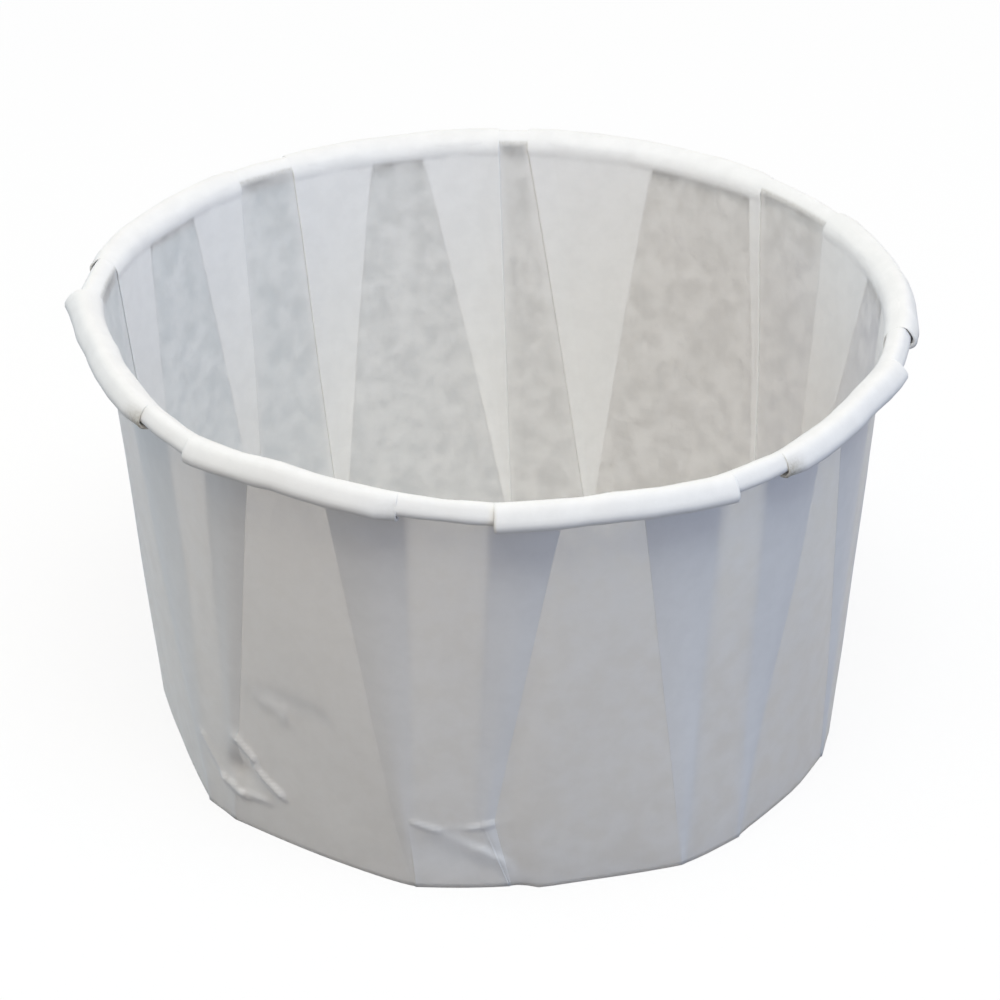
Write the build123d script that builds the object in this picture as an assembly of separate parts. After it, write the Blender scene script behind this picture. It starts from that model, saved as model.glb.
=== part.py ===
from build123d import *
import math
import os

# Paper souffle cup: one disc of white paper, box-pleated into a cup and rolled over at the rim.
# Millimetres. The origin is in the middle of the base, on the surface it stands on.
# Z is up, -Y is the front, and angles turn from the front to the right.

# Overall sizes
rim_diameter = 76.2
cup_height = 43.4
base_diameter = 64.8  # over the corners of the pleats

# The sheet
paper_thickness = 0.12
layer_gap = 0.08  # air between two layers of a pleat
base_overlap = 0.6  # width of a pleat where it starts at the base

# The rolled rim
roll_diameter = 2.6  # over three layers of paper
roll_side_count = 12
roll_seat = 0.6  # depth of the wall inside the roll, from the roll's inner side

# Box pleats, in degrees: the two corners at the base, then the four folds at the rim from left to right.
# Three layers lie between an outer and an inner fold, and one layer between the two inner folds.
pleat_angles = [
    # corner, corner, outer fold, inner fold, inner fold, outer fold
    (-14, -3, -26, -14, -1, 9),
    (28, 42, 20, 32, 41, 54),
    (65, 79, 59, 71, 81, 93),
    (117, 127, 102, 118, 134, 136),
    (162, 178, 154, 175, 180, 193),
    (209, 227, 200, 215, 225, 236),
    (252, 264, 248, 259, 268, 281),
    (302, 313, 289, 304, 314, 322),
]
full_turn = 360
quarter_turn = 90

# Levels of the three layers, measured outwards from the inner face of the wall
layer_pitch = paper_thickness + layer_gap
stack_thickness = 2 * layer_pitch + paper_thickness

# Places that follow from the sizes
roll_radius = roll_diameter / 2
roll_center_radius = rim_diameter / 2 - roll_radius
wall_top = cup_height - roll_radius
wall_radius_at_rim = roll_center_radius - roll_radius + roll_seat
wall_radius_at_base = base_diameter / 2 - stack_thickness


def outwards(angle):
    turn = math.radians(angle)
    return Vector(math.sin(turn), -math.cos(turn), 0)


def skin_section(height, panel_level, layer_level, gap_level, inner_setback, outer_setback):
    """Outline of one face of the folded sheet at a height, with a Z-fold at each side of every pleat."""
    rise = Vector(0, 0, height)
    share = height / wall_top

    def crease(level, corner, fold, along_fold, base_offset, setback):
        at_base = outwards(corner) * (wall_radius_at_base + level) + along_fold * base_offset
        at_rim = outwards(fold) * (wall_radius_at_rim + level)
        return at_base * (1 - share) + at_rim * share + along_fold * setback + rise

    points = []
    for left, right, outer_left, inner_left, inner_right, outer_right in pleat_angles:
        half_pleats = [(left, outer_left, inner_left, 1), (right, outer_right, inner_right, -1)]
        for corner, outer, inner, side in half_pleats:
            # From the outer fold to the inner one, the same way at the base as at the rim
            along_fold = outwards((outer + inner) / 2 + side * quarter_turn)
            outer_fold = (corner, outer, along_fold, -base_overlap / 2)
            inner_fold = (corner, inner, along_fold, base_overlap / 2)
            z_fold = [
                crease(panel_level, *outer_fold, 0),
                crease(panel_level, *inner_fold, -inner_setback),
                crease(layer_level, *inner_fold, -inner_setback),
                crease(layer_level, *outer_fold, outer_setback),
                crease(gap_level, *outer_fold, outer_setback),
                crease(gap_level, *inner_fold, 0),
            ]
            points += z_fold[::side]
    return points


def faceted_solid(bottom, top):
    """The solid between two outlines with as many corners, each side two flat triangles from crease to crease."""
    outlines = [bottom, top]
    following = zip(bottom, bottom[1:] + bottom[:1], top, top[1:] + top[:1])
    for low, next_low, high, next_high in following:
        outlines.append([low, next_low, next_high])
        outlines.append([low, next_high, high])
    faces = [Face(Wire.make_polygon(outline)) for outline in outlines]
    return Solid(Shell(faces)).clean()


def folded_wall():
    """The pleated wall and the base: what the sheet's outer face encloses, less what its inner face does."""
    middle_layer = layer_pitch
    outer_layer = 2 * layer_pitch
    outer_skin = (paper_thickness, middle_layer, stack_thickness, paper_thickness, 0)
    inner_skin = (0, middle_layer + paper_thickness, outer_layer, 0, paper_thickness)
    outside = faceted_solid(*[skin_section(height, *outer_skin) for height in (0, wall_top)])
    inside = faceted_solid(*[skin_section(height, *inner_skin) for height in (paper_thickness, wall_top)])
    return outside - inside


def rim_stretch(start_angle, end_angle, layers_missing):
    """A stretch of the rolled rim, thinner by the layers that are missing there."""
    radius = roll_radius - layers_missing * layer_pitch
    turns = RegularPolygon(radius, roll_side_count)
    section = Plane.XZ * Pos(roll_center_radius, wall_top) * turns
    stretch = revolve(section, axis=Axis.Z, revolution_arc=end_angle - start_angle)
    return Rot(0, 0, start_angle - quarter_turn) * stretch


def rolled_rim():
    """Thin stretches of one layer inside each pleat, and thick ones of three from one pleat to the next."""
    stretches = []
    for pleat, next_pleat in zip(pleat_angles, pleat_angles[1:] + pleat_angles[:1]):
        inner_left, inner_right = pleat[3:5]
        next_inner_left = next_pleat[3]
        thick_span = (next_inner_left - inner_right) % full_turn
        stretches.append(rim_stretch(inner_left, inner_right, layers_missing=2))
        stretches.append(rim_stretch(inner_right, inner_right + thick_span, layers_missing=0))
    return stretches


cup = folded_wall() + rolled_rim()

os.makedirs("parts", exist_ok=True)
export_step(cup, "parts/pleated_cup.step")
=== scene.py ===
import math

import bpy
import numpy as np
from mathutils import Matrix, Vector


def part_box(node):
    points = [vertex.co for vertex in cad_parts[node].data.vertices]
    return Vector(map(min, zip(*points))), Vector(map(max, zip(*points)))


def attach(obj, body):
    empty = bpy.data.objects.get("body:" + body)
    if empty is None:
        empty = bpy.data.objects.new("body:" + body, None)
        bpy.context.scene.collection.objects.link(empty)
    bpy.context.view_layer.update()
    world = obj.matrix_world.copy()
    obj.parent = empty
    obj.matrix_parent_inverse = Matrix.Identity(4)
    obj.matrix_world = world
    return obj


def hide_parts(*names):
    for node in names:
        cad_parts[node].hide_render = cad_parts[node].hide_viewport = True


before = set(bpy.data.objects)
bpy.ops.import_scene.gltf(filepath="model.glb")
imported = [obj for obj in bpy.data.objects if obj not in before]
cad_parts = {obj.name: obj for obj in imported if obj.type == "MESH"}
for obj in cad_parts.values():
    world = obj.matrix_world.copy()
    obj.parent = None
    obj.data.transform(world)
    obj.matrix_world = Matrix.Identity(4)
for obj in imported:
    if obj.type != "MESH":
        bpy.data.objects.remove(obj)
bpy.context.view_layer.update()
print("frame loaded:", sorted(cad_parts))

mm = 0.001
nodeLow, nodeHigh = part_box("pleated_cup")
rimRadius = (nodeHigh[0] - nodeLow[0]) / 2 / mm
cupHeight = nodeHigh[2] / mm


# The folded sheet. Lengths are millimetres, angles are degrees from the front (-Y), turning to the right.
sheet = {
    "paper": 0.055,  # thickness
    "pitch": 0.065,  # from one layer of a pleat to the next
    "baseRadius": 32.1,  # middle of the inner layer at the corners of the base
    "baseOverlap": 0.1,  # half the turn, in degrees, between a pleat's two folds where they start
    "baseFlatness": 0.72,  # 1 is flat between the corners, 0 is round
    "rimFlatness": 0.06,
    "baseRise": 0.35,  # how far the middle of the base stands off the table
    "baseThick": 0.3,  # how far the base holds light back, where three layers have 1
    "lean": -0.2,  # how far the base lies to the right of the rim's middle
    "edgeLift": 0.02,  # how far a folded edge springs away from the layers beside it
    "liftReach": 0.6,
    "heldByBase": 5.0,  # height over which the base holds the edges down
    "heldByRoll": 4.0,
    "edgeRound": 0.15,  # how far the bend of a folded edge stands past its crease
    "edgeFade": 0.5,  # width of the soft edge of a pleat's shade, on the single layer beside it
    "edgePress": 0.85,  # how closely the layers are pressed together at an outer fold, 1 is fully
    "pressReach": 0.6,
    "brightEdge": 0.3,  # half width of the light line along some outer folds
    "ledgeHeight": 0.9,  # strip under the roll that is pressed inwards
    "ledgeStep": 0.1,
    "ledgeSlope": 0.5,  # height over which the strip comes in
    "gapLine": 0.35,  # how dark the painted shadow line is where a single layer goes into the roll
}
# Light lines beside some outer folds: pleat, then how light its left and its right one is
brightFolds = {0: (0, 0.6), 1: (0.5, 0), 2: (0.8, 0), 7: (0, 0.5)}

# The grid's columns on each stretch of the sheet, and its rows up the wall and over the base
grid = {
    "fold": 5,
    "pleat": 5,
    "hiddenLayer": 2,
    "gap": 8,
    "panel": 12,
    "creasedPleats": (0, 7),  # pleats that need more columns for their creases, and the panel between them
    "creasedGap": 22,
    "creasedPanel": 54,
    "crowdedFrom": 40,  # columns past which most of them lie at the start of a stretch
    "crowdedColumns": 0.68,
    "crowdedShare": 0.4,
    "lowRows": (3, 7),  # last height and count
    "creasedRows": [(3.3, 10.5, 25), (11.2, 19, 9)],  # first and last height and count
    "highRows": (22, 0.6, 5),  # first height, how far below the ledge they end, and count
    "ledgeRows": (0.2, 6),  # how far below the ledge they start, and count
    "baseRings": (0.15, 0.45, 0.75, 0.93, 0.985),  # shares of the base's radius
}

# Two corners at the base, then outer fold, inner fold, inner fold and outer fold at the rim, left to right
pleats = [
    (-13.9, -2.6, -24.8, -13.1, -0.2, 9.2),
    (30.7, 43.0, 19.8, 31.6, 40.6, 53.4),
    (69.8, 77.5, 58.2, 71.0, 81.0, 93.0),
    (116.0, 126.9, 102.0, 118.1, 134.0, 136.0),
    (162.4, 177.5, 154.0, 175.0, 180.1, 192.6),
    (209.4, 226.6, 200.6, 214.6, 225.3, 236.2),
    (252.4, 269.5, 247.9, 260.0, 269.6, 275.0),
    (304.3, 311.8, 287.4, 305.0, 315.8, 323.6),
]


def spread(count):
    # Shares from 0 to 1 that crowd towards both ends, as the shadow of even steps round a half circle.
    # Where there are many, two thirds of them lie evenly in the first two fifths.
    share = (np.arange(count) + 0.5) / count
    if count > grid["crowdedFrom"]:
        return np.interp(share, [0, grid["crowdedColumns"], 1], [0, grid["crowdedShare"], 1])
    return 0.5 - 0.5 * np.cos(math.pi * share)


def foldedPath(settings, pleats):
    # One closed way round the sheet. Each stretch lies between two crease lines on one layer, and each fold
    # is a half circle from one layer to the next. Rows: base and rim angle of both creases, share between
    # them, layer (0 inside, 2 outside), bulge past the crease, 1 where three layers lie together, 1 where
    # an edge springs up, the base and rim angle of that edge, how bright the nearer fold's line is, and 1
    # where that edge is an outer fold.
    overlap = settings["baseOverlap"]
    bend = np.radians(np.linspace(-90, 90, grid["fold"]))
    stretches = []

    def panel(start, end, layer, count, triple, edge=None, bright=(0, 0)):
        # The line is as bright as the left fold's in the first half, and as the right fold's in the second.
        share = spread(count)
        springs = 0 if edge is None else 1
        outer = springs if layer > 0 else 0
        line = np.where(share < 0.5, *bright)
        place = (*start, *end, share, layer, 0, triple)
        stretches.append(np.broadcast_arrays(*place, springs, *(edge or start), line, outer))

    def fold(crease, low, high, side):
        # The layer goes with the sine of the bend, and the bulge with its cosine.
        layer = (low + high) / 2 + (high - low) / 2 * np.sin(bend)
        bulge = side * np.cos(bend)
        outer = 1 if low + high > 2 else 0
        place = (*crease, *crease, 0.5, layer, bulge, 1)
        stretches.append(np.broadcast_arrays(*place, 1, *crease, 0, outer))

    following = pleats[1:] + pleats[:1]
    for index, (pleat, after) in enumerate(zip(pleats, following)):
        left, right, outerLeft, innerLeft, innerRight, outerRight = pleat
        outL = (left - overlap, outerLeft)
        inL = (left + overlap, innerLeft)
        inR = (right - overlap, innerRight)
        outR = (right + overlap, outerRight)
        nextIndex = (index + 1) % len(pleats)
        turn = 360 if nextIndex == 0 else 0
        nextOutL = (after[0] - overlap + turn, after[2] + turn)
        bright = (brightFolds.get(index, (0, 0))[1], brightFolds.get(nextIndex, (0, 0))[0])
        gapColumns = grid["creasedGap"] if index in grid["creasedPleats"] else grid["gap"]
        panelColumns = grid["creasedPanel"] if turn else grid["panel"]
        panel(outL, inL, 0, grid["pleat"], 1, inL)
        fold(inL, 0, 1, 1)
        panel(inL, outL, 1, grid["hiddenLayer"], 1, outL)
        fold(outL, 1, 2, -1)
        panel(outL, inL, 2, grid["pleat"], 1, outL)
        panel(inL, inR, 2, gapColumns, 0)
        panel(inR, outR, 2, grid["pleat"], 1, outR)
        fold(outR, 2, 1, 1)
        panel(outR, inR, 1, grid["hiddenLayer"], 1, outR)
        fold(inR, 1, 0, -1)
        panel(inR, outR, 0, grid["pleat"], 1, inR)
        panel(outR, nextOutL, 0, panelColumns, 0, bright=bright)
    return np.concatenate(stretches, axis=1)


def wallHeights(settings, rollHeight):
    # Heights of the wall's rows, even within each band. The bands are finest where the creases are.
    ledge = rollHeight - settings["ledgeHeight"]
    highStart, highStop, highCount = grid["highRows"]
    ledgeStart, ledgeCount = grid["ledgeRows"]
    bands = [(settings["paper"] / 2, *grid["lowRows"])] + grid["creasedRows"]
    bands += [(highStart, ledge - highStop, highCount), (ledge - ledgeStart, rollHeight, ledgeCount)]
    return np.concatenate([np.linspace(*band) for band in bands])


def cornerLines(pleats, share):
    # Middle of each pleat's double fold at each height: a straight line from the base corner to the rim.
    base = np.array([corner for pleat in pleats for corner in pleat[:2]])
    rim = np.array([middle for p in pleats for middle in ((p[2] + p[3]) / 2, (p[4] + p[5]) / 2)])
    lines = base + (rim - base) * share[:, None]
    return np.concatenate([lines[:, -1:] - 360, lines, lines[:, :2] + 360], axis=1)


def chordDrop(angle, share, settings, pleats):
    # Share of the radius that a flat side loses between its corners: 1 - cos(half span) / cos(from middle).
    lines = cornerLines(pleats, share)[:, None, :]
    which = (angle[:, :, None] > lines).sum(axis=2) - 1
    left = np.take_along_axis(lines[:, 0, :], which, axis=1)
    right = np.take_along_axis(lines[:, 0, :], which + 1, axis=1)
    half = np.radians(right - left) / 2
    fromMiddle = np.radians(angle - (left + right) / 2)
    atRim, atBase = settings["rimFlatness"], settings["baseFlatness"]
    flatness = atRim + (atBase - atRim) * (1 - share)
    return flatness[:, None] * (1 - np.cos(half) / np.cos(fromMiddle))


# Where the cup is out of round: angle, then how far the base's edge, the rim and the rim's height depart
outOfRound = [
    (0, -0.80, -0.25, -0.90),
    (3, 0.10, -0.25, -0.85),
    (8, 0.30, -0.25, -0.75),
    (15, 0.30, -0.25, -0.65),
    (30, 0.55, -0.15, -1.15),
    (45, 0.15, -0.20, -0.90),
    (60, 0.60, -0.45, -0.25),
    (75, 0.10, -0.45, -1.00),
    (90, -0.05, -0.30, -0.30),
    (105, -0.05, -0.20, -0.60),
    (120, -0.05, -0.25, -0.70),
    (135, -0.05, -0.25, -0.75),
    (150, -0.05, -0.25, -0.80),
    (165, -0.05, -0.25, -0.75),
    (180, -0.05, -0.25, -0.75),
    (195, -0.05, -0.25, -0.90),
    (210, -0.05, -0.25, -0.80),
    (225, -0.05, -0.20, -0.35),
    (240, -0.05, -0.15, -0.25),
    (255, -0.05, 0.00, 0.20),
    (270, -0.05, 0.50, -0.20),
    (285, -0.35, -0.65, -0.10),
    (300, -0.35, -0.45, -0.05),
    (315, -0.35, -0.25, -0.50),
    (330, -0.15, -0.40, 0.10),
    (345, 0.00, -0.30, -0.45),
    (357, -0.95, -0.25, -0.80),
]

# Kinks in the folds near the base: angle, height where each starts, then half width and shift at the base,
# both in degrees
kinks = [
    (-2.5, 7.6, 9.0, 5.0),
]

# Creases pressed into the wall: two ends as angle and height, then how far the ridge stands out and its
# half width
creases = [
    (-44.9, 10.2, -42.1, 8.6, 0.50, 0.7),
    (-42.0, 7.6, -37.2, 5.7, 0.48, 0.7),
    (-54.6, 8.1, -49.4, 4.7, 0.26, 0.6),
    (-49.4, 4.7, -45.5, 4.0, 0.28, 0.7),
    (-45.5, 4.0, -40.6, 4.3, 0.22, 0.7),
    (-38.2, 17.2, -27.4, 16.7, -0.18, 0.9),
    (-40.0, 16.6, -35.0, 15.2, 0.22, 1.0),
    (-12.6, 7.5, -9.6, 6.9, 0.20, 0.4),
    (-9.6, 6.9, -4.4, 7.1, 0.05, 0.5),
    (-4.4, 7.1, -0.8, 7.5, 0.20, 0.4),
    (-9.6, 6.6, -4.1, 4.4, 0.10, 1.2),
    (-4.1, 4.4, 0.6, 1.4, 0.16, 1.2),
]
# How far a ridge reaches above and below its line, in half widths, and the rise that fully bruises paper
ridge = {"above": 0.6, "below": 1.5, "bruisingRise": 0.2}
# Dents: angle, height, half width, half height, depth and how far the paper is bruised
dents = [
    (-45.2, 6.6, 1.5, 1.3, 0.75, 0.0),
    (-8.5, 3.6, 3.2, 2.6, 0.16, 0.8),
]
# Folds that are pressed flat near the base: angle, height where each starts to show, half width in degrees
flatFolds = [
    (-48.5, 10.0, 5.0),
    (30.5, 8.0, 3.0),
    (271.0, 120.0, 7.0),
]
flatShare = 0.9  # of the way between their layers that is taken up
# Slow waves in the paper: times round, height of one wave, phase in degrees and rise
waves = [
    (5, 60, 20, 0.10),
    (9, 38, 130, 0.07),
    (14, 55, 250, 0.05),
    (22, 30, 75, 0.03),
]


def fromAngle(angle, middle):
    # Signed turn in degrees from the middle, the short way round.
    return (angle - middle + 180) % 360 - 180


def followRound(angle, column):
    # One column of the out-of-round table, straight from entry to entry round the cup.
    table = np.array(outOfRound, dtype=float)
    return np.interp(angle, table[:, 0], table[:, column], period=360)


def pushedSideways(angle, height):
    # Sum of shifts that are greatest at the base, run out at their own height and die away as a bell.
    shift = np.zeros(np.broadcast(angle, height).shape)
    for middle, top, halfWidth, most in kinks:
        sideways = np.exp(-(fromAngle(angle, middle) / halfWidth) ** 2)
        shift += most * np.clip(1 - height / top, 0, 1) * sideways
    return shift


def pressedFlat(angle, height):
    # How far the layers stand apart: 1 where folds are open, and close to 0 where they are pressed flat, as
    # they fully are up to half of each one's height.
    apart = np.ones(np.broadcast(angle, height).shape)
    for middle, top, halfWidth in flatFolds:
        sideways = np.exp(-(fromAngle(angle, middle) / halfWidth) ** 4)
        apart *= 1 - flatShare * np.clip(2 - 2 * height / top, 0, 1) * sideways
    return apart


def pressedMarks(angle, height, radius):
    # Sum of ridges, which fall off evenly to each side of their lines, less bell-shaped dents. Second, how
    # far they have bruised the paper, which lets less light through there.
    marks, bruises = np.zeros((2,) + np.broadcast(angle, height).shape)
    for startAngle, startHeight, endAngle, endHeight, rise, halfWidth in creases:
        across = np.radians(fromAngle(angle, startAngle)) * radius
        above = height - startHeight
        run = np.radians(endAngle - startAngle) * radius
        climb = endHeight - startHeight
        along = np.clip((across * run + above * climb) / (run ** 2 + climb ** 2), 0, 1)
        away = np.hypot(across - along * run, above - along * climb)
        upper = above * np.abs(run) > across * np.sign(run) * climb
        reach = halfWidth * np.where(upper, ridge["above"], ridge["below"])
        near = np.clip(1 - away / reach, 0, 1)
        marks += rise * near
        bruises += np.clip(np.abs(rise) / ridge["bruisingRise"], 0, 1) * np.sqrt(near)
    for middleAngle, middleHeight, halfWidth, halfHeight, depth, bruise in dents:
        across = np.radians(fromAngle(angle, middleAngle)) * radius / halfWidth
        above = (height - middleHeight) / halfHeight
        near = np.exp(-across ** 2 - above ** 2)
        marks -= depth * near
        bruises += bruise * near
    return marks, np.clip(bruises, 0, 1)


def slowWaves(angle, height, share):
    # Sum of sine waves that slant round the wall, still at the base and the rim: 4 * share * (1 - share).
    total = np.zeros(np.broadcast(angle, height).shape)
    for times, length, phase, rise in waves:
        total += rise * np.sin(np.radians(times * angle + 360 * height / length + phase))
    return total * 4 * share * (1 - share)


# The rolled rim
roll = {
    "radius": 1.25,  # of the outermost layer, across its flats
    "squareness": 3.2,  # power of the super-ellipse, 2 is round
    "tilt": 32,  # how far its flats lean outwards, in degrees
    "turn": 325,  # how far the paper goes round
    "tuck": 0.42,  # share that the radius loses where the end is tucked in
    "tuckStart": 0.62,  # share of the turn where the tuck starts
    "tuckPower": 1.5,
    "steps": 22,
    "nesting": 0.3,  # drop of the radius from the outer to the inner layer
    "nestingPower": 0.6,
    "taperShare": 0.95,  # how much of that drop a tapered end has
    "taperReach": 1.2,
    "shadeAndDirtReach": 0.7,
    "hangTurn": 0.9,  # how far below the outer side the ends hang and carry most painted shade and dirt, in radians
    "shadeAndDirtTurn": 0.6,
    "lumps": [(23, 40, 0.02), (37, 200, 0.02), (61, 310, 0.015)],  # times round, phase, rise
}
# Free ends of the thick stretches: angle, how far each springs out and hangs, its reach, painted shade and
# dirt, and taper
rollEnds = [
    (-13.1, 0.05, 0.50, 0.5, 0.3, 1.0),
    (-0.2, 0.10, 0.05, 1.5, 0.0, 0.0),
    (31.6, 0.15, 0.10, 2.0, 0.0, 0.0),
    (40.6, 0.20, 0.50, 0.6, 1.0, 1.0),
    (71.0, 0.45, 0.00, 2.0, 0.0, 0.3),
    (81.0, 0.35, 0.25, 1.6, 0.3, 0.6),
    (118.1, 0.40, 0.00, 2.5, 0.0, 0.5),
    (134.0, 0.10, 0.00, 1.5, 0.0, 0.8),
    (175.0, 0.05, 0.00, 1.5, 0.0, 0.5),
    (180.1, 0.05, 0.00, 1.5, 0.0, 0.5),
    (214.6, 0.10, 0.00, 1.5, 0.0, 0.5),
    (225.3, 0.10, 0.00, 1.5, 0.0, 0.5),
    (260.0, 0.35, 0.00, 0.6, 0.6, 1.0),
    (269.6, 0.55, 0.00, 1.6, 0.0, 0.0),
    (305.0, 0.20, 0.50, 0.6, 1.0, 1.0),
    (315.8, 0.10, 0.05, 1.5, 0.0, 0.2),
]


def flattened(angle):
    # Radius of a super-ellipse of radius 1 across its flats: (|cos|^n + |sin|^n)^(-1/n).
    power = roll["squareness"]
    turned = angle - math.radians(roll["tilt"])
    return (np.abs(np.cos(turned)) ** power + np.abs(np.sin(turned)) ** power) ** (-1 / power)


def sprungEnds(angle, layer):
    # Spring and hang of the free ends, each exp(-distance / reach), and their painted shade and dirt, a
    # bell, all on the rolled-over layers alone. Last, their taper, which falls evenly from 1 to 0.
    spring, hang, shadedAndDirty, taper = np.zeros((4, len(angle)))
    free = np.clip(1 - layer / 2, 0, 1)
    for middle, out, down, reach, shadeAndDirt, tapered in rollEnds:
        away = np.abs(np.radians(fromAngle(angle, middle))) * rimRadius
        near = free * np.exp(-away / reach)
        spring += out * near
        hang += down * near
        shadedAndDirty += shadeAndDirt * free * np.exp(-(away / roll["shadeAndDirtReach"]) ** 2)
        taper += tapered * np.clip(1 - away / roll["taperReach"], 0, 1)
    return spring, hang, shadedAndDirty, taper


def rolledRim(angle, layer, rise, center, height):
    # Round the roll: own radius, less the layers above it, times the super-ellipse and the tuck. The turns
    # touch at the top of their inner side. Last, how much painted shade and dirt the free ends have, most
    # on their lower outer side.
    turnShare = np.arange(1, roll["steps"] + 1)[:, None] / roll["steps"]
    around = np.radians(180 - roll["turn"] * turnShare)
    tucked = np.clip((turnShare - roll["tuckStart"]) / (1 - roll["tuckStart"]), 0, 1)
    tuck = 1 - roll["tuck"] * tucked ** roll["tuckPower"]
    spring, hang, shadedAndDirty, taper = sprungEnds(angle, layer)
    lumps = sum(size * np.sin(np.radians(times * angle + phase)) for times, phase, size in roll["lumps"])
    depth = (layer / 2) ** roll["nestingPower"]
    nested = roll["nesting"] * (depth + (1 - depth) * taper * roll["taperShare"])
    towardsTouch = nested * math.sqrt(0.5)
    own = (roll["radius"] + lumps - nested) * flattened(around) * tuck
    radius = center + followRound(angle, 2) - towardsTouch + own * np.cos(around)
    radius = radius + spring * np.clip(np.cos(around), 0, 1)
    z = height + rise + towardsTouch + own * np.sin(around)
    z = z - hang * np.clip(np.cos(around + roll["hangTurn"]), 0, 1)
    return radius, z, shadedAndDirty * np.clip(np.cos(around + roll["shadeAndDirtTurn"]), 0, 1)


def flatBase(settings, radius, turn):
    # Rings of the wall's first row, whose columns even out towards the middle. The height falls with the
    # square of the way out.
    inward = np.array(grid["baseRings"])[:, None]
    evenTurn = turn[0] + 2 * math.pi * np.arange(len(turn)) / len(turn)
    baseTurn = evenTurn + (np.maximum.accumulate(turn) - evenTurn) * inward
    baseRadius = inward * radius
    rise = settings["baseRise"] * (1 - inward ** 2)
    return baseRadius, baseTurn, np.broadcast_to(settings["paper"] / 2 + rise, baseRadius.shape)


def foldedSheet(settings, pleats):
    # Middle surface of the paper on a grid. Down the rows the sheet runs from the middle of the base to its
    # edge, straight up the flaring wall, then round the roll, whose end is tucked in.
    path = foldedPath(settings, pleats)
    baseA, rimA, baseB, rimB, along, layer, bulge, triple, springs, edgeBase, edgeRim, line, outer = path
    halfPaper = settings["paper"] / 2
    widest = float(flattened(np.array(0.0))) * roll["radius"]
    rollCenter = rimRadius - widest - halfPaper
    rollHeight = cupHeight - widest - halfPaper
    rimWall = rollCenter - widest
    heights = wallHeights(settings, rollHeight)
    share = heights / rollHeight
    up, tall = share[:, None], heights[:, None]

    def between(atBase, atRim):
        # Straight from the base to the rim.
        return atBase + (atRim - atBase) * up

    # The wall: a cone that is flatter between its corners and out of round, plus the layers, the marks, the
    # waves and the edges that spring up, less the ledge
    angle = (1 - along) * between(baseA, rimA) + along * between(baseB, rimB)
    radius = between(settings["baseRadius"], rimWall)
    radius = radius * (1 - chordDrop(angle, share, settings, pleats))
    radius = radius + between(followRound(angle[0], 1), followRound(angle[-1], 2))
    fromEdge = np.radians(np.abs(angle - between(edgeBase, edgeRim))) * radius
    pressedEdge = settings["edgePress"] * outer * np.exp(-(fromEdge / settings["pressReach"]) ** 2)
    apart = pressedFlat(angle, tall) * (1 - pressedEdge)
    radius = radius + layer * settings["pitch"] * apart
    marks, bruises = pressedMarks(angle, tall, settings["baseRadius"])
    radius = radius + marks + slowWaves(angle, tall, up)
    held = np.clip(tall / settings["heldByBase"], 0, 1)
    held = held * np.clip((rollHeight - tall) / settings["heldByRoll"], 0, 1)
    lift = settings["edgeLift"] * springs * (layer - 1) * np.exp(-fromEdge / settings["liftReach"])
    radius = radius + lift * held * apart
    ledge = np.clip((tall - rollHeight + settings["ledgeHeight"]) / settings["ledgeSlope"], 0, 1)
    radius = radius - settings["ledgeStep"] * ledge * (1 - layer / 2)
    turn = np.radians(angle + pushedSideways(angle, tall)) + bulge * apart * settings["edgeRound"] / radius
    rise = followRound(angle[-1], 3)
    z = tall + rise * up

    rollRadius, rollZ, shadedAndDirty = rolledRim(angle[-1], layer, rise, rollCenter, rollHeight)
    rollTurn = np.broadcast_to(turn[-1], rollZ.shape)
    # Painted shadow line: the roll's first row over a gap's single layer takes the brown, as the roll
    # shades the gap there.
    shadedAndDirty[0] += settings["gapLine"] * (layer == 2) * (triple == 0)
    baseRadius, baseTurn, baseZ = flatBase(settings, radius[0], turn[0])

    # Paint: how far three layers or their like back the paper, and the painted shade and dirt at the roll's
    # free ends. A single layer darkens softly towards an inner fold and is lighter along a bright outer
    # one.
    fromCrease = np.radians(between(baseB - baseA, rimB - rimA)) * np.minimum(along, 1 - along) * radius
    shade = np.exp(-(fromCrease / settings["edgeFade"]) ** 2) * (layer == 2)
    shade = shade - line * np.exp(-(fromCrease / settings["brightEdge"] - 1) ** 2)
    wallThick = np.maximum(np.where(triple == 0, shade, triple), bruises)
    wallThick = wallThick + (1 - wallThick) * ledge * (layer < 2)
    thick = np.concatenate([np.full(baseZ.shape, settings["baseThick"]), wallThick, np.ones(rollZ.shape)])
    shadeAndDirt = np.concatenate([np.zeros(baseZ.shape), np.zeros(z.shape), shadedAndDirty])

    turn = np.concatenate([baseTurn, turn, rollTurn])
    radius = np.concatenate([baseRadius, radius, rollRadius])
    z = np.concatenate([baseZ, z, rollZ])
    lean = settings["lean"] * np.clip(1 - z / rollHeight, 0, 1)
    points = np.stack([radius * np.sin(turn) + lean, -radius * np.cos(turn), z], axis=-1)
    return points, len(baseZ), thick, shadeAndDirt


def sheetNormals(points, baseRows):
    # Cross product of the steps round and up the grid, and straight down on the flat base.
    across = np.roll(points, -1, axis=1) - np.roll(points, 1, axis=1)
    up = np.gradient(points, axis=0)
    normal = np.cross(across, up)
    normal[:baseRows] = (0, 0, -1)
    return normal / np.linalg.norm(normal, axis=2, keepdims=True)


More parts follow.
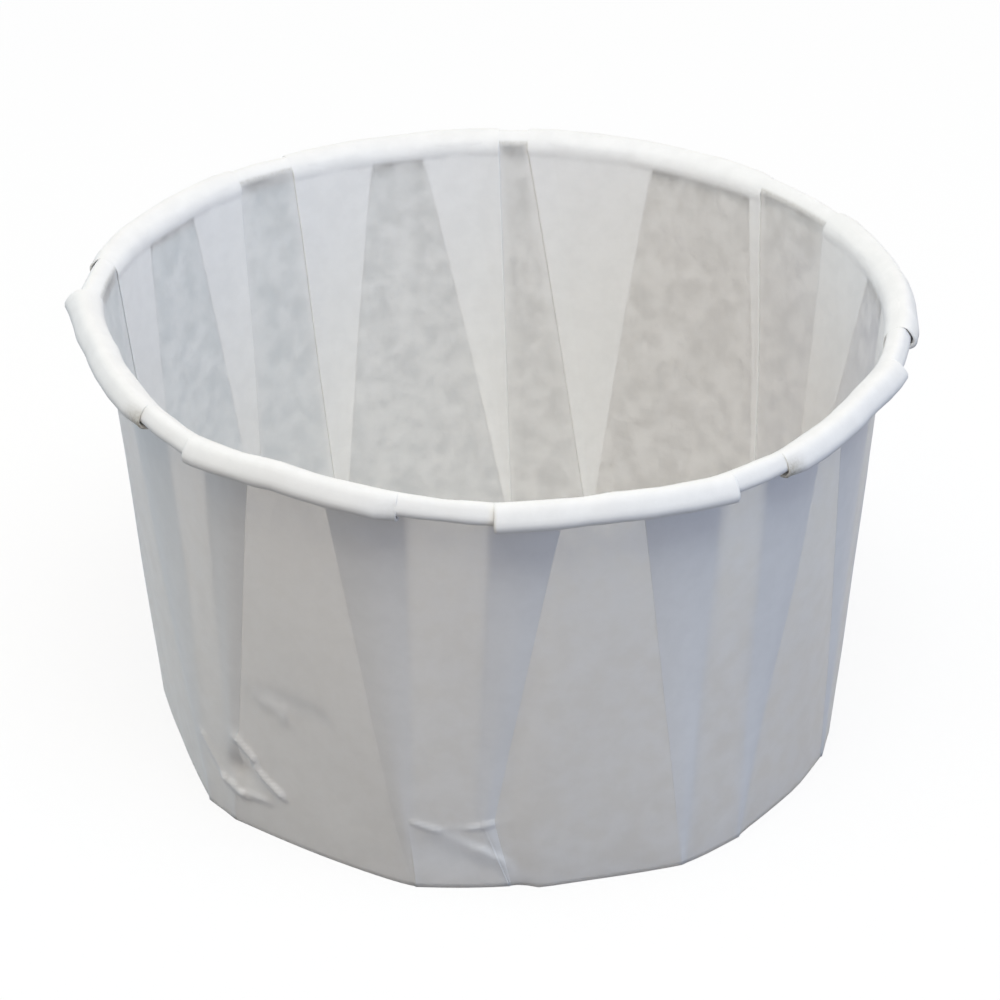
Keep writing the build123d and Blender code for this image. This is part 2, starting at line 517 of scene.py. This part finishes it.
def thickSheet(points, normal, paper):
    # Two skins half the thickness to each side, joined round the tucked edge and closed at both poles.
    outer = points + normal * paper / 2
    inner = points - normal * paper / 2
    rows = np.concatenate([outer, inner[::-1]])
    poles = np.array([[0, 0, outer[0, :, 2].mean()], [0, 0, inner[0, :, 2].mean()]])
    rowCount, columnCount = rows.shape[:2]
    index = np.arange(rowCount * columnCount).reshape(rowCount, columnCount)
    right = np.roll(index, -1, axis=1)
    quads = np.stack([index[:-1], right[:-1], right[1:], index[1:]], axis=-1).reshape(-1, 4)
    firstPole = rowCount * columnCount
    bottom = np.stack([np.full(columnCount, firstPole), right[0], index[0]], axis=-1)
    top = np.stack([np.full(columnCount, firstPole + 1), index[-1], right[-1]], axis=-1)
    vertices = np.concatenate([rows.reshape(-1, 3), poles])
    return vertices, quads, np.concatenate([bottom, top])


def paintValues(values, mesh, name):
    # One value for each point of both skins, the inner skin's rows in turn, and one for each pole.
    poles = [values[0].mean()] * 2
    both = np.concatenate([values.ravel(), values[::-1].ravel(), poles])
    layer = mesh.attributes.new(name, "FLOAT", "POINT")
    layer.data.foreach_set("value", np.ascontiguousarray(both, dtype=np.float32))


def makeCup():
    # The folded sheet as one smooth mesh in metres, with its two paints.
    points, baseRows, thick, shadeAndDirt = foldedSheet(sheet, pleats)
    normal = sheetNormals(points, baseRows)
    vertices, quads, triangles = thickSheet(points, normal, sheet["paper"])
    mesh = bpy.data.meshes.new("folded_sheet")
    mesh.from_pydata((vertices * mm).tolist(), [], quads.tolist() + triangles.tolist())
    paintValues(thick, mesh, "thick")
    paintValues(shadeAndDirt, mesh, "shadeAndDirt")
    mesh.polygons.foreach_set("use_smooth", np.ones(len(mesh.polygons), dtype=bool))
    mesh.update()
    cup = bpy.data.objects.new("folded_sheet", mesh)
    bpy.context.scene.collection.objects.link(cup)
    print("folded sheet:", len(vertices), "points,", 2 * len(quads) + len(triangles), "triangles")
    return cup


# White paper, thin enough to let light through
paper = {
    "white": (0.965, 0.957, 0.945, 1),
    "shade": (0.93, 0.922, 0.91, 1),  # where the sheet's fibres lie thinner
    # brown of the painted shade and dirt at the roll's free ends and of the painted shadow line under the
    # roll
    "shadedAndDirty": (0.46, 0.42, 0.33, 1),
    "singleThrough": 0.63,  # share of the light that goes on through the face of a single layer
    "tripleThrough": 0.1,
    "cloudThrough": 0.1,
    "clouds": (480, 5, 0.6),  # scale per metre, detail and roughness of the noise
    "fibres": (2600, 6, 0.7),
    "fibreHeight": 0.00002,
    "fibreStrength": 0.6,
    # Ramps: the noise's lower and upper end, and the values there
    "cloudColour": (0.4, 0.65, 0, 1),
    "fibreShadeAndDirt": (0.4, 0.6, 0.5, 1),
    "fibreGloss": (0.35, 0.65, 0.75, 0.95),
    "cloudEnds": (0.38, 0.62),
}


def paperMaterial():
    # Mix of a matt face and light that goes through, by how many layers back it and by the paper's clouds.
    material = bpy.data.materials.new("white_paper")
    material.use_nodes = True
    nodes, links = material.node_tree.nodes, material.node_tree.links
    shader = nodes["Principled BSDF"]
    place = nodes.new("ShaderNodeTexCoord")

    def noise(scale, detail, roughness):
        # Cloudy pattern fixed to the cup.
        texture = nodes.new("ShaderNodeTexNoise")
        texture.inputs["Scale"].default_value = scale
        texture.inputs["Detail"].default_value = detail
        texture.inputs["Roughness"].default_value = roughness
        links.new(place.outputs["Object"], texture.inputs["Vector"])
        return texture.outputs["Fac"]

    def ramp(source, low, high, atLow, atHigh):
        # Straight from one value to the other between the two ends.
        step = nodes.new("ShaderNodeMapRange")
        for name, value in (("From Min", low), ("From Max", high), ("To Min", atLow), ("To Max", atHigh)):
            step.inputs[name].default_value = value
        links.new(source, step.inputs["Value"])
        return step.outputs["Result"]

    def painted(name):
        # One of the mesh's own paints.
        attribute = nodes.new("ShaderNodeAttribute")
        attribute.attribute_name = name
        return attribute.outputs["Fac"]

    def mixColour(factor, first, second):
        # From the first colour to the second, each a constant or another node's output.
        mix = nodes.new("ShaderNodeMix")
        mix.data_type = "RGBA"
        for socket, value in ((mix.inputs[6], first), (mix.inputs[7], second)):
            if isinstance(value, tuple):
                socket.default_value = value
            else:
                links.new(value, socket)
        links.new(factor, mix.inputs[0])
        return mix.outputs[2]

    clouds = noise(*paper["clouds"])
    fibres = noise(*paper["fibres"])
    colour = mixColour(ramp(clouds, *paper["cloudColour"]), paper["shade"], paper["white"])
    # Painted shade and dirt: the mesh's paint, broken up by the fibres, mixes in the brown.
    shadeAndDirt = nodes.new("ShaderNodeMath")
    shadeAndDirt.operation = "MULTIPLY"
    links.new(painted("shadeAndDirt"), shadeAndDirt.inputs[0])
    links.new(ramp(fibres, *paper["fibreShadeAndDirt"]), shadeAndDirt.inputs[1])
    colour = mixColour(shadeAndDirt.outputs[0], colour, paper["shadedAndDirty"])
    links.new(colour, shader.inputs["Base Color"])
    links.new(ramp(fibres, *paper["fibreGloss"]), shader.inputs["Roughness"])
    bump = nodes.new("ShaderNodeBump")
    bump.inputs["Strength"].default_value = paper["fibreStrength"]
    bump.inputs["Distance"].default_value = paper["fibreHeight"]
    links.new(fibres, bump.inputs["Height"])
    links.new(bump.outputs[0], shader.inputs["Normal"])
    through = nodes.new("ShaderNodeBsdfTranslucent")
    links.new(colour, through.inputs["Color"])
    least = paper["singleThrough"] - paper["cloudThrough"]
    most = paper["singleThrough"] + paper["cloudThrough"]
    share = nodes.new("ShaderNodeMix")
    share.clamp_factor = False
    share.inputs["B"].default_value = paper["tripleThrough"]
    links.new(painted("thick"), share.inputs["Factor"])
    links.new(ramp(clouds, *paper["cloudEnds"], most, least), share.inputs["A"])
    mix = nodes.new("ShaderNodeMixShader")
    links.new(share.outputs["Result"], mix.inputs[0])
    links.new(shader.outputs[0], mix.inputs[1])
    links.new(through.outputs[0], mix.inputs[2])
    links.new(mix.outputs[0], nodes["Material Output"].inputs["Surface"])
    return material


cup = makeCup()
cup.data.materials.append(paperMaterial())
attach(cup, "root")
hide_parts("pleated_cup")


# Floor, lamps and camera. The camera's lengths are millimetres.
studio = {
    "cameraDistance": 320.0,
    "cameraElevation": 30.52,
    "target": (0.19, 0.0, 21.33),
    "focal": 3429.0,  # pixels, on a picture 1000 pixels wide
    "pictureWidth": 1000,
    "sensor": 36.0,
    "clipStart": 10.0,
    "floorHalf": 1.0,  # metres
    "floorBounce": 0.15,  # how much of its light the floor sends back to the cup
    "floorRoughness": 0.9,
    "floorPale": 0.97,
    "shadowDepth": 0.15,  # share of the real shading that the white floor shows
    "skyStrength": 0.44,
    "skyColour": (1, 0.955, 0.955, 1),
}


def makeCamera():
    # Stands in front of the cup and above it, and looks at the target.
    camera = bpy.data.objects.new("camera", bpy.data.cameras.new("camera"))
    bpy.context.scene.collection.objects.link(camera)
    tilt = math.radians(studio["cameraElevation"])
    x, y, z = studio["target"]
    away = studio["cameraDistance"]
    camera.location = (x * mm, (y - away * math.cos(tilt)) * mm, (z + away * math.sin(tilt)) * mm)
    camera.rotation_euler = (math.pi / 2 - tilt, 0, 0)
    camera.data.sensor_width = studio["sensor"]
    camera.data.lens = studio["focal"] * studio["sensor"] / studio["pictureWidth"]
    camera.data.clip_start = studio["clipStart"] * mm
    bpy.context.scene.camera = camera


def seenDirectly(nodes, links):
    # 1 for rays from the camera, a mirror or glass, and 0 for light scattered by paper or the floor.
    path = nodes.new("ShaderNodeLightPath")
    total = path.outputs["Is Camera Ray"]
    steps = (("Is Glossy Ray", "ADD"), ("Is Transmission Ray", "ADD"), ("Is Diffuse Ray", "SUBTRACT"))
    for output, operation in steps:
        step = nodes.new("ShaderNodeMath")
        step.operation = operation
        step.use_clamp = operation == "SUBTRACT"
        links.new(total, step.inputs[0])
        links.new(path.outputs[output], step.inputs[1])
        total = step.outputs[0]
    return total


def makeFloor():
    # A plain square that is white to the camera but for a soft shadow, and grey to the light it sends back.
    half = studio["floorHalf"]
    mesh = bpy.data.meshes.new("floor")
    corners = [(-half, -half, 0), (half, -half, 0), (half, half, 0), (-half, half, 0)]
    mesh.from_pydata(corners, [], [(0, 1, 2, 3)])
    floor = bpy.data.objects.new("floor", mesh)
    bpy.context.scene.collection.objects.link(floor)
    material = bpy.data.materials.new("pale_floor")
    material.use_nodes = True
    nodes, links = material.node_tree.nodes, material.node_tree.links
    grey = nodes["Principled BSDF"]
    grey.inputs["Base Color"].default_value = (studio["floorBounce"],) * 3 + (1,)
    grey.inputs["Roughness"].default_value = studio["floorRoughness"]
    pale = nodes.new("ShaderNodeBsdfDiffuse")
    pale.inputs["Color"].default_value = (studio["floorPale"],) * 3 + (1,)
    glow = nodes.new("ShaderNodeEmission")
    backdrop = nodes.new("ShaderNodeMixShader")
    backdrop.inputs[0].default_value = 1 - studio["shadowDepth"]
    mix = nodes.new("ShaderNodeMixShader")
    links.new(pale.outputs[0], backdrop.inputs[1])
    links.new(glow.outputs[0], backdrop.inputs[2])
    links.new(seenDirectly(nodes, links), mix.inputs[0])
    links.new(grey.outputs[0], mix.inputs[1])
    links.new(backdrop.outputs[0], mix.inputs[2])
    links.new(mix.outputs[0], nodes["Material Output"].inputs["Surface"])
    mesh.materials.append(material)


# Each lamp: azimuth (0 is in front, 90 to the right), elevation, distance and width in metres, power in
# watts and colour
lamps = {
    "keyRight": (26, 68, 0.75, 0.45, 2.55, (0.83, 0.94, 1)),
    "keyLeft": (-26, 68, 0.75, 0.45, 1.45, (1, 0.85, 0.62)),
    "right": (54, 18, 0.75, 0.45, 0.8, (0.15, 0.42, 1)),
    "backLeft": (247, 10, 0.75, 0.45, 1.85, (0.57, 0.8, 1)),
    "backRight": (141, 12, 0.75, 0.45, 0.98, (1, 0.95, 0.82)),
}


def makeLamp(name, azimuth, elevation, distance, width, power, colour):
    # Stands on a sphere round the cup and looks at its middle.
    lamp = bpy.data.lights.new(name, "AREA")
    lamp.shape = "DISK"
    lamp.size = width
    lamp.energy = power
    lamp.color = colour
    item = bpy.data.objects.new(name, lamp)
    bpy.context.scene.collection.objects.link(item)
    around, above = math.radians(azimuth), math.radians(elevation)
    reach = distance * math.cos(above)
    item.location = (reach * math.sin(around), -reach * math.cos(around), distance * math.sin(above))
    item.rotation_euler = (math.pi / 2 - above, 0, around)


def makeWorld():
    # A soft sky for the cup, and plain white where the camera sees past the floor.
    world = bpy.data.worlds.new("studio")
    bpy.context.scene.world = world
    world.use_nodes = True
    nodes, links = world.node_tree.nodes, world.node_tree.links
    soft = nodes["Background"]
    soft.inputs["Color"].default_value = studio["skyColour"]
    soft.inputs["Strength"].default_value = studio["skyStrength"]
    white = nodes.new("ShaderNodeBackground")
    white.inputs["Color"].default_value = (1, 1, 1, 1)
    mix = nodes.new("ShaderNodeMixShader")
    links.new(seenDirectly(nodes, links), mix.inputs[0])
    links.new(soft.outputs[0], mix.inputs[1])
    links.new(white.outputs[0], mix.inputs[2])
    links.new(mix.outputs[0], nodes["World Output"].inputs["Surface"])


makeCamera()
makeFloor()
for lampName, lampSettings in lamps.items():
    makeLamp(lampName, *lampSettings)
makeWorld()
bpy.context.scene.view_settings.view_transform = "Standard"
print("studio set")
